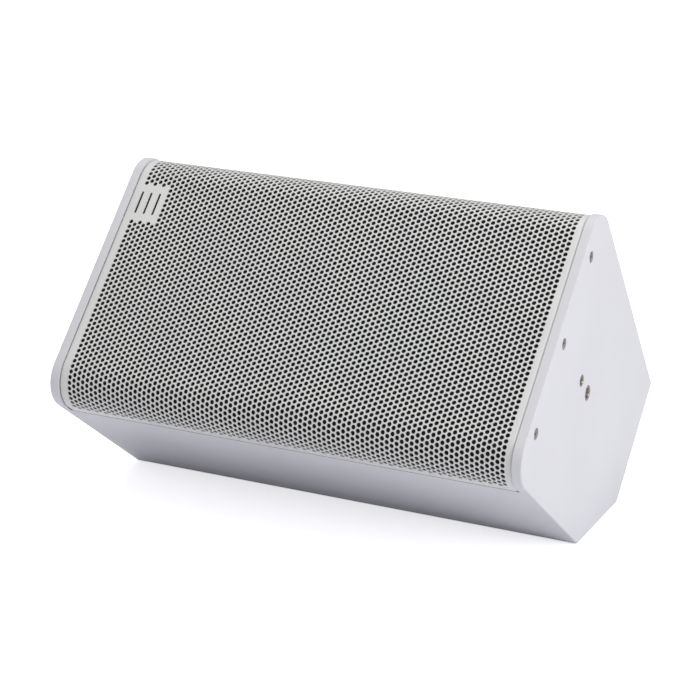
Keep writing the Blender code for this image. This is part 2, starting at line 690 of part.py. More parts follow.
def lead(name, route, parent):
    """An internal lead: a tube along a smooth curve through its route."""
    points = []
    for i in range(len(route) - 1):
        a, b = Vector(route[max(i - 1, 0)]), Vector(route[i])
        c, d = Vector(route[i + 1]), Vector(route[min(i + 2, len(route) - 1)])
        for step in range(4):
            t = step / 4
            points.append(0.5 * (2 * b + (c - a) * t + (2 * a - 5 * b + 4 * c - d) * t**2
                                 + (3 * b - a - 3 * c + d) * t**3))
    points.append(Vector(route[-1]))
    curve = bpy.data.curves.new(name, "CURVE")
    curve.dimensions = "3D"
    curve.bevel_depth = 1.9 * MM
    curve.bevel_resolution = 1
    curve.use_fill_caps = True
    curve.materials.append(finish("wire_red"))
    spline = curve.splines.new("POLY")
    spline.points.add(len(points) - 1)
    for knot, point in zip(spline.points, points):
        knot.co = (*(point * MM), 1.0)
    made = bpy.data.objects.new(name, curve)
    made.parent = parent
    bpy.context.collection.objects.link(made)


def leads(parent):
    lead("woofer_lead", ((57, 24, -243), (42, 24, -238), (20, 12, -200), (2, 2, -160), (-14, 0, -122),
                         (-24, 0, -86)), parent)
    lead("hf_lead", ((120, -17, -243), (120, -27, -232), (116, -46, -185), (112, -53, -135),
                     (109, -50, -108), (108, -43, -96)), parent)


def tilt(frame):
    """Lays the cabinet on its chamfer, with the middle of its bounding box over the origin."""
    frame.rotation_euler = (math.radians(45), 0.0, 0.0)
    outline = [point for arc in corner_arcs(0.0, 64, END_RADIUS) for point in arc]
    across = [(point.x - point.y) / math.sqrt(2) for point in outline]
    middle = (min(across) + max(across)) / 2
    frame.location = (0.0, -middle * MM, CHAMFER_REACH / math.sqrt(2) * MM)


def main():
    clear_scene()
    cabinet = add_axes("cabinet_axes", 0.0, None)
    tilt(cabinet)
    woofer_axis = add_axes("woofer_axis", WOOFER_X, cabinet)
    horn_axis = add_axes("horn_axis", HORN_X, cabinet)
    end_panel("end_panel_right", 1, cabinet)
    end_panel("end_panel_left", -1, cabinet)
    long_panels(cabinet)
    front_baffle(cabinet)
    window_brace(cabinet)
    grille(cabinet)
    grille_foam(cabinet)
    end_fixings(cabinet)
    woofer(woofer_axis)
    horn(horn_axis)
    compression_driver(horn_axis)
    port_tubes(horn_axis)
    connector_plate(cabinet)
    crossover(cabinet)
    damping_lining(cabinet)
    leads(cabinet)


main()
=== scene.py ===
import math
import bmesh
import bpy
from mathutils import Matrix, Vector


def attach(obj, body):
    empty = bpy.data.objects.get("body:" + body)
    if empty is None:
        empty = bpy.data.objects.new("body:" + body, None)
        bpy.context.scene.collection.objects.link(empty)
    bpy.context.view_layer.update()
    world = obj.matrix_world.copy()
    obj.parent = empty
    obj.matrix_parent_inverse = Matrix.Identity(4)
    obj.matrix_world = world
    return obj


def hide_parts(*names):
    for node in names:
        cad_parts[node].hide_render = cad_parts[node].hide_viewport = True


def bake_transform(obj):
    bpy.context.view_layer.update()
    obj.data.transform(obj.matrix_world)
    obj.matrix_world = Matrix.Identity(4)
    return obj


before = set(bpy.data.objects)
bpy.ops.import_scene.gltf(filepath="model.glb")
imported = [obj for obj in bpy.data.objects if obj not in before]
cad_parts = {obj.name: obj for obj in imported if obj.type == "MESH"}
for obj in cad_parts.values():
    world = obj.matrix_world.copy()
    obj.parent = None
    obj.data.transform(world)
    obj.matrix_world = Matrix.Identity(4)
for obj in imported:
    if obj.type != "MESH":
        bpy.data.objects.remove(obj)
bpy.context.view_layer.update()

# The cabinet's own axes: x along it, s across the grille, n out of the grille, whose flat face is n = 0.
cabinet = {
    "length": 0.434, "halfFront": 0.1276, "depth": 0.2616, "sideTaper": 0.139, "chamferReach": 0.29085,
    "frontRadius": 0.029, "endRadius": 0.026, "rearRadius": 0.003, "edgeRound": 0.0014,
    "panel": 0.015, "lip": 0.0085, "wall": 0.012, "wallFront": -0.0335,
    "rebate": 0.0013, "rebateEnd": -0.0410, "tilt": 45.0, "cornerSteps": 16,
}


def sideAt(n, inset=0.0):
    return cabinet["halfFront"] + cabinet["sideTaper"] * n - inset * math.hypot(1.0, cabinet["sideTaper"])


def sharpCorners(inset=0.0):
    rear = inset - cabinet["depth"]
    reach = cabinet["chamferReach"] - inset * math.sqrt(2)
    meet = (sideAt(0.0, inset) - reach) / (1.0 - cabinet["sideTaper"])
    return [Vector((sideAt(-inset, inset), -inset)), Vector((sideAt(rear, inset), rear)),
            Vector((-reach - rear, rear)), Vector((-sideAt(meet, inset), meet)),
            Vector((-sideAt(-inset, inset), -inset))]


def cornerArc(before, corner, after, radius, steps):
    one, two = (before - corner).normalized(), (after - corner).normalized()
    half = one.angle(two) / 2
    middle = corner + (one + two).normalized() * (radius / math.sin(half))
    start = corner + one * (radius / math.tan(half)) - middle
    end = corner + two * (radius / math.tan(half)) - middle
    sweep = start.angle_signed(end)
    points = []
    for i in range(steps + 1):
        c, s = math.cos(-sweep * i / steps), math.sin(-sweep * i / steps)
        points.append(middle + Vector((start.x * c - start.y * s, start.x * s + start.y * c)))
    return points


def cornerArcs(inset=0.0, steps=None, front="frontRadius"):
    sharp = sharpCorners(inset)
    radii = [cabinet[front]] + [cabinet["rearRadius"]] * 3 + [cabinet[front]]
    arcs = []
    for i, radius in enumerate(radii):
        corner = (sharp[i - 1], sharp[i], sharp[(i + 1) % 5])
        arcs.append(cornerArc(*corner, max(radius - inset, 0.0008), steps or cabinet["cornerSteps"]))
    return arcs


def cabinetToRow():
    across = [(p.x - p.y) / math.sqrt(2) for arc in cornerArcs(0.0, 64, "endRadius") for p in arc]
    place = Vector((0.0, -(min(across) + max(across)) / 2, cabinet["chamferReach"] / math.sqrt(2)))
    return Matrix.Translation(place) @ Matrix.Rotation(math.radians(cabinet["tilt"]), 4, "X")


toRow = cabinetToRow()


def newMaterial(name, colour, roughness, metallic=0.0, **sockets):
    made = bpy.data.materials.new(name)
    made.use_nodes = True
    shader = made.node_tree.nodes["Principled BSDF"]
    shader.inputs["Base Color"].default_value = (*colour, 1.0)
    shader.inputs["Roughness"].default_value = roughness
    shader.inputs["Metallic"].default_value = metallic
    for socket, value in sockets.items():
        shader.inputs[socket].default_value = value
    return made


def addNoise(made, scale, detail=3.0, stretch=(1.0, 1.0, 1.0)):
    nodes, links = made.node_tree.nodes, made.node_tree.links
    place = nodes.new("ShaderNodeTexCoord")
    mapping = nodes.new("ShaderNodeMapping")
    mapping.inputs["Scale"].default_value = stretch
    noise = nodes.new("ShaderNodeTexNoise")
    noise.inputs["Scale"].default_value = scale
    noise.inputs["Detail"].default_value = detail
    links.new(place.outputs["Object"], mapping.inputs["Vector"])
    links.new(mapping.outputs["Vector"], noise.inputs["Vector"])
    return noise


def tint(made, noise, dark, light, low=0.35, high=0.65):
    nodes, links = made.node_tree.nodes, made.node_tree.links
    ramp = nodes.new("ShaderNodeValToRGB")
    ramp.color_ramp.elements[0].position = low
    ramp.color_ramp.elements[0].color = (*dark, 1.0)
    ramp.color_ramp.elements[1].position = high
    ramp.color_ramp.elements[1].color = (*light, 1.0)
    links.new(noise.outputs["Fac"], ramp.inputs["Fac"])
    links.new(ramp.outputs["Color"], nodes["Principled BSDF"].inputs["Base Color"])


def roughen(made, noise, low, high):
    nodes, links = made.node_tree.nodes, made.node_tree.links
    spread = nodes.new("ShaderNodeMapRange")
    spread.inputs["To Min"].default_value = low
    spread.inputs["To Max"].default_value = high
    links.new(noise.outputs["Fac"], spread.inputs["Value"])
    links.new(spread.outputs["Result"], nodes["Principled BSDF"].inputs["Roughness"])


def addBump(made, heights, strength, distance):
    nodes, links = made.node_tree.nodes, made.node_tree.links
    bump = nodes.new("ShaderNodeBump")
    bump.inputs["Strength"].default_value = strength
    bump.inputs["Distance"].default_value = distance
    links.new(heights, bump.inputs["Height"])
    shader = nodes["Principled BSDF"]
    before = shader.inputs["Normal"].links
    if before:
        links.new(before[0].from_socket, bump.inputs["Normal"])
    links.new(bump.outputs["Normal"], shader.inputs["Normal"])


def finishOf(name, dark, light, low, high, metallic=0.0, cloud=18.0, grain=900.0, depth=0.00004,
             stretch=(1.0, 1.0, 1.0), **sockets):
    made = newMaterial(name, light, (low + high) / 2, metallic, **sockets)
    clouds = addNoise(made, cloud, 4.0)
    tint(made, clouds, dark, light)
    fine = addNoise(made, grain, 2.0, stretch)
    roughen(made, fine, low, high)
    addBump(made, fine.outputs["Fac"], 0.5, depth)
    return made


paint = finishOf("structuredPaint", (0.675, 0.675, 0.705), (0.70, 0.70, 0.73), 0.42, 0.62,
                 cloud=9.0, grain=560.0, depth=0.00016)
grillePaint = finishOf("grillePowderCoat", (0.70, 0.70, 0.69), (0.735, 0.735, 0.72), 0.36, 0.5,
                       cloud=30.0, grain=1500.0, depth=0.00003)
# raw board of the rebate, darkened to paint the shade in the narrow gap under the grille's edges
rawBoardAndShade = finishOf("rawBoardAndShade", (0.13, 0.085, 0.055), (0.20, 0.14, 0.09), 0.8, 0.95,
                    cloud=120.0, grain=900.0, depth=0.00008)
foamBlack = finishOf("openCellFoam", (0.006, 0.006, 0.007), (0.013, 0.013, 0.014), 0.92, 1.0,
                     cloud=400.0, grain=1800.0, depth=0.0004)
darkSteel = finishOf("burnishedSteel", (0.20, 0.165, 0.14), (0.36, 0.32, 0.29), 0.25, 0.42, 0.95,
                     cloud=600.0, grain=2500.0, depth=0.00001)
zinc = finishOf("zincPlate", (0.50, 0.49, 0.46), (0.66, 0.65, 0.61), 0.25, 0.4, 0.9,
                cloud=60.0, grain=1500.0, depth=0.00001)
castBlack = finishOf("castFrameCoat", (0.035, 0.035, 0.038), (0.055, 0.055, 0.058), 0.45, 0.6, 0.3,
                     cloud=60.0, grain=900.0, depth=0.0001)
rubberBlack = finishOf("rubber", (0.018, 0.018, 0.018), (0.03, 0.03, 0.03), 0.55, 0.75,
                       cloud=80.0, grain=1200.0, depth=0.00003)
conePulp = finishOf("conePulp", (0.028, 0.028, 0.03), (0.05, 0.05, 0.052), 0.7, 0.9,
                    cloud=220.0, grain=700.0, depth=0.00012)
spiderCloth = finishOf("spiderCloth", (0.42, 0.27, 0.08), (0.58, 0.42, 0.16), 0.8, 0.95,
                       cloud=300.0, grain=1500.0, depth=0.0002)
copperWire = finishOf("enamelledCopper", (0.48, 0.16, 0.05), (0.72, 0.34, 0.14), 0.2, 0.35, 0.9,
                      cloud=60.0, grain=900.0, depth=0.0002, stretch=(0.2, 1.0, 1.0))
ferrite = finishOf("ferrite", (0.05, 0.05, 0.053), (0.085, 0.085, 0.09), 0.7, 0.9,
                   cloud=90.0, grain=500.0, depth=0.0001)
titanium = finishOf("titaniumFoil", (0.42, 0.42, 0.45), (0.56, 0.56, 0.58), 0.2, 0.35, 1.0,
                    cloud=60.0, grain=600.0, depth=0.00002)
blackPlastic = finishOf("blackPlastic", (0.018, 0.018, 0.02), (0.03, 0.03, 0.033), 0.4, 0.55,
                        cloud=50.0, grain=1600.0, depth=0.00004)
plateBlack = finishOf("plateCoat", (0.022, 0.022, 0.024), (0.034, 0.034, 0.037), 0.4, 0.6, 0.1,
                      cloud=50.0, grain=1300.0, depth=0.00006)
boardGreen = finishOf("solderMask", (0.01, 0.10, 0.04), (0.02, 0.16, 0.06), 0.3, 0.45,
                      cloud=150.0, grain=400.0, depth=0.00003)
filmOrange = finishOf("dippedFilm", (0.42, 0.06, 0.015), (0.56, 0.10, 0.03), 0.2, 0.35,
                      cloud=90.0, grain=300.0, depth=0.0001)
ceramicWhite = finishOf("firedCeramic", (0.66, 0.64, 0.58), (0.78, 0.76, 0.70), 0.7, 0.9,
                        cloud=200.0, grain=900.0, depth=0.00008)
plywoodBlack = finishOf("stainedPlywood", (0.012, 0.011, 0.010), (0.03, 0.027, 0.025), 0.6, 0.8,
                        cloud=40.0, grain=250.0, depth=0.0001, stretch=(0.15, 1.0, 1.0))
waddingWhite = finishOf("wadding", (0.62, 0.62, 0.60), (0.80, 0.80, 0.78), 0.95, 1.0,
                        cloud=120.0, grain=700.0, depth=0.001)
sheathRed = finishOf("leadSheath", (0.30, 0.02, 0.015), (0.42, 0.035, 0.025), 0.4, 0.55,
                     cloud=80.0, grain=900.0, depth=0.00003)
print("materials made")


def addRings(shape, rings, closed=False):
    made = [[shape.verts.new(point) for point in ring] for ring in rings]
    pairs = list(zip(made, made[1:]))
    if closed:
        pairs.append((made[-1], made[0]))
    else:
        shape.faces.new(made[0])
        shape.faces.new(made[-1])
    for low, high in pairs:
        for i in range(len(low)):
            j = (i + 1) % len(low)
            shape.faces.new((low[i], low[j], high[j], high[i]))


def circle(radius, height, sides, centre=(0.0, 0.0)):
    turns = [2 * math.pi * i / sides for i in range(sides)]
    return [(centre[0] + radius * math.cos(a), centre[1] + radius * math.sin(a), height) for a in turns]


def sideCircle(radius, x, sides, s=0.0, n=0.0):
    return [(x, s + a, n + b) for a, b, _ in circle(radius, 0.0, sides)]


def boxShape(low, high):
    shape = bmesh.new()
    corners = ((low[0], low[1]), (high[0], low[1]), (high[0], high[1]), (low[0], high[1]))
    addRings(shape, [[(x, s, n) for x, s in corners] for n in (low[2], high[2])])
    return shape


def makeObject(name, shape, material, tidy=True):
    if tidy:
        bmesh.ops.recalc_face_normals(shape, faces=shape.faces)
    mesh = bpy.data.meshes.new(name)
    shape.to_mesh(mesh)
    shape.free()
    mesh.materials.append(material)
    made = bpy.data.objects.new(name, mesh)
    bpy.context.collection.objects.link(made)
    return made


def baked(made):
    bpy.context.view_layer.update()
    graph = bpy.context.evaluated_depsgraph_get()
    mesh = bpy.data.meshes.new_from_object(made.evaluated_get(graph))
    made.modifiers.clear()
    old = made.data
    made.data = mesh
    bpy.data.meshes.remove(old)
    return made


def cutOut(made, shape):
    cutter = makeObject("cutter", shape, paint)
    modifier = made.modifiers.new("cut", "BOOLEAN")
    modifier.operation = "DIFFERENCE"
    modifier.solver = "EXACT"
    modifier.object = cutter
    baked(made)
    bpy.data.objects.remove(cutter, do_unlink=True)


def softenEdges(made, width, angle=50.0, segments=2):
    bevel = made.modifiers.new("soften", "BEVEL")
    bevel.width = width
    bevel.segments = segments
    bevel.limit_method = "ANGLE"
    bevel.angle_limit = math.radians(angle)
    bevel.harden_normals = False
    baked(made)


def settle(made, *replaced, body="cabinet", slot=None, smooth=35.0, place=True):
    if place:
        made.data.transform(toRow)
    made.data.shade_smooth()
    made.data.set_sharp_from_angle(angle=math.radians(smooth))
    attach(made, body)
    if replaced:
        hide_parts(*replaced)
    return made


fixings = {
    "screwN": -0.015, "screwS": (-0.081, 0.0, 0.081), "screwHead": 0.0045, "counterbore": 0.0048,
    "counterboreDeep": 0.003, "yokeN": -0.1025, "yokeRadius": 0.0065, "yokeBore": 0.0038,
    "locatingN": -0.080, "locatingRadius": 0.0050, "locatingBore": 0.0028, "sides": 40,
    "screwHole": 0.0023, "screwShank": 0.002, "screwTall": 0.0023, "screwLong": 0.010, "screwKey": 0.0025,
    "screwSetBack": 0.0027, "yokePitch": 0.00125, "locatingPitch": 0.001, "insertLong": 0.0140,
    "insertSetBack": 0.0003,
}


def rawAndShadedRebate(made):
    # the rebate under the grille's long edges is cut after painting; its raw board gets a dark brown that also
    # paints the shade of the narrow gap beside the grille
    made.data.materials.append(rawBoardAndShade)
    low, high = cabinet["rebateEnd"] - 0.0001, cabinet["wallFront"] + 0.0002
    shown = cabinet["length"] / 2 - cabinet["lip"] + 0.0002
    for face in made.data.polygons:
        x, s, n = face.center
        if low < n < high and abs(x) < shown and abs(s) > 0.11 and sideAt(n) - abs(s) > 0.0003:
            face.material_index = 1


def endPanel(side):
    outer, inner = cabinet["length"] / 2, cabinet["length"] / 2 - cabinet["panel"]
    soft, rings = cabinet["edgeRound"], []
    for i in range(7):
        turn = math.radians(15 * i)
        x = outer - soft * (1 - math.cos(turn))
        arcs = cornerArcs(soft * (1 - math.sin(turn)), None, "endRadius")
        rings.append([(side * x, p.x, p.y) for arc in arcs for p in arc])
    rings.append([(side * inner, p.x, p.y) for arc in cornerArcs(0.0, None, "endRadius") for p in arc])
    shape = bmesh.new()
    addRings(shape, rings)
    made = makeObject("endPanelRight" if side > 0 else "endPanelLeft", shape, paint)
    step = sorted((side * (inner - 0.002), side * (outer - cabinet["lip"])))
    wide = cabinet["halfFront"] + 0.005
    cutOut(made, boxShape((step[0], -wide, cabinet["wallFront"]), (step[1], wide, 0.01)))
    low, high, deep = cabinet["rebateEnd"], cabinet["wallFront"] + 0.001, cabinet["rebate"]
    rebates = bmesh.new()
    for i in (-1, 1):
        edges = ((sideAt(low, deep), low), (wide, low), (wide, high), (sideAt(high, deep), high))
        addRings(rebates, [[(x, i * s, n) for s, n in edges] for x in step])
    cutOut(made, rebates)
    holes = bmesh.new()
    floor = outer - fixings["counterboreDeep"]
    for s in fixings["screwS"]:
        small, wider = fixings["screwHole"], fixings["counterbore"]
        steps = ((small, outer - cabinet["lip"] - 0.001), (small, floor), (wider, floor),
                 (wider, outer - 0.0004), (wider + 0.0018, outer + 0.0014))
        addRings(holes, [sideCircle(r, side * x, fixings["sides"], s, fixings["screwN"]) for r, x in steps])
    for kind in ("yoke", "locating"):
        n, radius = fixings[kind + "N"], fixings[kind + "Radius"]
        steps = ((radius + 0.0001, inner - 0.002), (radius + 0.0001, outer - 0.0003),
                 (radius + 0.0016, outer + 0.0012))
        addRings(holes, [sideCircle(r, side * x, fixings["sides"], 0.0, n) for r, x in steps])
    cutOut(made, holes)
    rawAndShadedRebate(made)
    node = "end_panel_right" if side > 0 else "end_panel_left"
    return settle(made, node, slot="painted_plywood", smooth=40)


plate = {
    "x": -0.100, "s": 0.028, "width": 0.120, "height": 0.056, "thick": 0.002, "recess": 0.0065,
    "socketOffset": 0.028, "screwOffset": 0.054, "gap": 0.0005, "ledge": 0.012, "bedGap": 0.0003,
    "socketHole": 0.0121, "screwHole": 0.002, "screwShank": 0.0018, "screwHead": 0.0035, "screwTall": 0.0018,
    "screwLong": 0.012, "screwKey": 0.002, "screwSeat": 0.0005,
}


def wrapWalls():
    reach = cabinet["length"] / 2 - cabinet["panel"]
    front, low, deep = cabinet["wallFront"], cabinet["rebateEnd"], cabinet["rebate"]
    lip = [Vector((sideAt(front, cabinet["wall"]), front)), Vector((sideAt(front, deep), front)),
           Vector((sideAt(low, deep), low)), Vector((sideAt(low), low))]
    points = [*lip]
    for arc in cornerArcs()[1:4]:
        points += arc
    points += [Vector((-p.x, p.y)) for p in reversed(lip)]
    points += reversed(sharpCorners(cabinet["wall"])[1:4])
    shape = bmesh.new()
    addRings(shape, [[(x, p.x, p.y) for p in points] for x in (-reach, reach)])
    made = makeObject("wrapWalls", shape, paint)
    bed = plate["recess"] - cabinet["depth"]
    gap, ledge = plate["gap"], plate["ledge"]
    low = (plate["x"] - plate["width"] / 2 - gap, plate["s"] - plate["height"] / 2 - gap,
           -cabinet["depth"] - 0.003)
    high = (plate["x"] + plate["width"] / 2 + gap, plate["s"] + plate["height"] / 2 + gap, bed)
    cutOut(made, boxShape(low, high))
    cutOut(made, boxShape((low[0] + ledge, low[1] + ledge, low[2]),
                          (high[0] - ledge, high[1] - ledge, bed + 0.01)))
    rawAndShadedRebate(made)
    return settle(made, "upper_wall", "rear_panel", "chamfer_panel", "lower_wall",
                  slot="painted_plywood", smooth=40)


endPanel(1)
endPanel(-1)
wrapWalls()
print("cabinet made")


def newTree(name, inputs):
    tree = bpy.data.node_groups.new(name, "GeometryNodeTree")
    tree.interface.new_socket("Geometry", in_out="INPUT", socket_type="NodeSocketGeometry")
    tree.interface.new_socket("Geometry", in_out="OUTPUT", socket_type="NodeSocketGeometry")
    for label, kind in inputs:
        tree.interface.new_socket(label, in_out="INPUT", socket_type=kind)
    tree.nodes.new("NodeGroupInput")
    tree.nodes.new("NodeGroupOutput")
    return tree


def inputOf(tree, label):
    return tree.nodes["Group Input"].outputs[label]


def calc(tree, operation, a, b=None, c=None):
    node = tree.nodes.new("ShaderNodeMath")
    node.operation = operation
    for socket, value in zip(node.inputs, (a, b, c)):
        if value is None:
            continue
        if isinstance(value, (int, float)):
            socket.default_value = value
        else:
            tree.links.new(value, socket)
    return node.outputs[0]


def runTree(made, tree, values):
    modifier = made.modifiers.new(tree.name, "NODES")
    modifier.node_group = tree
    for item in tree.interface.items_tree:
        if item.in_out == "INPUT" and item.name in values:
            modifier[item.identifier] = values[item.name]
    return modifier


grille = {
    "pitch": 0.005, "hole": 0.0040, "holeSides": 12, "sheet": 0.0010, "lastColumn": 46, "lastRow": 28.5,
    "shift": 0.001, "edge": -0.040, "sideGap": 0.0003, "fold": 0.0026, "flange": 0.021,
}
# the blank patch near one corner, with three plain slots; rows and columns are counted from the middle
patch = {"firstColumn": -46, "lastColumn": -41, "lowRow": 10.0, "highRow": 17.0,
         "slotColumns": (-46, -44, -42), "slotLow": 11.5, "slotHigh": 15.5, "slotWidth": 0.0022}
columnStep = grille["pitch"] * math.sqrt(3) / 2


def tileObject(name, outline, hole=None):
    shape = bmesh.new()
    outer = [shape.verts.new((x, y, 0.0)) for x, y in outline]
    if hole is None:
        shape.faces.new(outer)
    else:
        inner = [shape.verts.new((x, y, 0.0)) for x, y in hole]
        loops = []
        for ring in (outer, inner):
            loops += [shape.edges.new((ring[i], ring[(i + 1) % len(ring)])) for i in range(len(ring))]
        bmesh.ops.bridge_loops(shape, edges=loops)
    shape.normal_update()
    flipped = [face for face in shape.faces if face.normal.z < 0]
    bmesh.ops.reverse_faces(shape, faces=flipped)
    return makeObject(name, shape, grillePaint, tidy=False)


def makeTiles():
    x, y = columnStep / 2, grille["pitch"] / 2
    w = patch["slotWidth"] / 2
    outline = [(-x, -y), (x, -y), (x, 0.0), (x, y), (-x, y), (-x, 0.0)]
    sides = grille["holeSides"]
    turns = [2 * math.pi * (i + 0.5) / sides for i in range(sides)]
    ring = [(grille["hole"] / 2 * math.cos(a), grille["hole"] / 2 * math.sin(a)) for a in turns]
    arc = [(w * math.cos(a), w * math.sin(a)) for a in [-math.pi * i / 10 for i in range(11)]]
    end = [(-x, -y), (x, -y), (x, 0.0), (x, y), (w, y), *arc, (-w, y), (-x, y), (-x, 0.0)]
    strip = [(-x, -y), (-w, -y), (-w, y), (-x, y), (-x, 0.0)]
    middle = bmesh.new()
    for flip in (1, -1):
        points = [middle.verts.new((flip * a, b, 0.0)) for a, b in strip]
        middle.faces.new(points if flip > 0 else points[::-1])
    half = [(-x, -y / 2), (x, -y / 2), (x, y / 2), (-x, y / 2)]
    return [tileObject("holeTile", outline, ring), tileObject("plainTile", outline),
            makeObject("slotTile", middle, grillePaint, tidy=False), tileObject("slotEndTile", end),
            tileObject("halfTile", half)]


holeKind, plainKind, slotKind, slotLowKind, slotHighKind, halfKind = 1, 2, 3, 4, 5, 6


def kindAt(column, row):
    if not patch["firstColumn"] <= column <= patch["lastColumn"]:
        return holeKind
    if not patch["lowRow"] <= row <= patch["highRow"]:
        return holeKind
    if column not in patch["slotColumns"] or not patch["slotLow"] <= row <= patch["slotHigh"]:
        return plainKind
    if row == patch["slotLow"]:
        return slotLowKind
    return slotHighKind if row == patch["slotHigh"] else slotKind


def sheetPlan(name, upper):
    pitch, last, top, shift = grille["pitch"], grille["lastColumn"], grille["lastRow"], grille["shift"]
    shape = bmesh.new()
    kinds = shape.verts.layers.int.new("kind")
    for column in range(-last, last + 1):
        start = -28.0 if column % 2 else -27.5
        for i in range(int(-2 * start) + 1):
            row = start + i
            if (row >= 0) == upper:
                shape.verts.new((column * columnStep + shift, row * pitch, 0.0))[kinds] = kindAt(column, row)
        if column % 2 == 0:
            end = (top - 0.25) if upper else (0.25 - top)
            shape.verts.new((column * columnStep + shift, end * pitch, 0.0))[kinds] = halfKind
    edge = (last + 0.5) * columnStep
    half = cabinet["length"] / 2 - cabinet["lip"] - grille["sideGap"]
    fold = grille["fold"]
    sheetEnd = developed(grille["edge"])
    strip = [top * pitch + (sheetEnd - top * pitch) * i / 4 for i in range(5)]
    steps = [i / 2 * pitch for i in range(int(2 * top) + 1)] + strip[1:]
    acrossSheet = [shift - edge + columnStep * i for i in range(2 * last + 2)]
    margins = {}
    for side in (-1, 1):
        begin = side * edge + shift
        bend = side * (half - fold)
        margins[side] = [begin, (begin + bend) / 2]
        margins[side] += [bend + side * fold * math.sin(math.radians(15 * i)) for i in range(7)]
    sign = 1 if upper else -1

    def addGrid(across, along, flip):
        grid = [[shape.verts.new((x, sign * v, 0.0)) for x in across] for v in along]
        for low, high in zip(grid, grid[1:]):
            for i in range(len(across) - 1):
                ring = [low[i], low[i + 1], high[i + 1], high[i]]
                shape.faces.new(ring if flip > 0 else ring[::-1])

    for side in (-1, 1):
        addGrid(margins[side], steps, side * sign)
    addGrid(acrossSheet, strip, sign)
    return makeObject(name, shape, grillePaint, tidy=False)


def developed(n):
    # length along the sheet from its centre line to the depth n on the flat side
    radius = cabinet["frontRadius"]
    arc = cornerArcs()[0]
    last = arc[-1]
    turn = math.pi / 2 + math.atan(cabinet["sideTaper"])
    return arc[0].x + radius * turn + (last.y - n) * math.hypot(1.0, cabinet["sideTaper"])


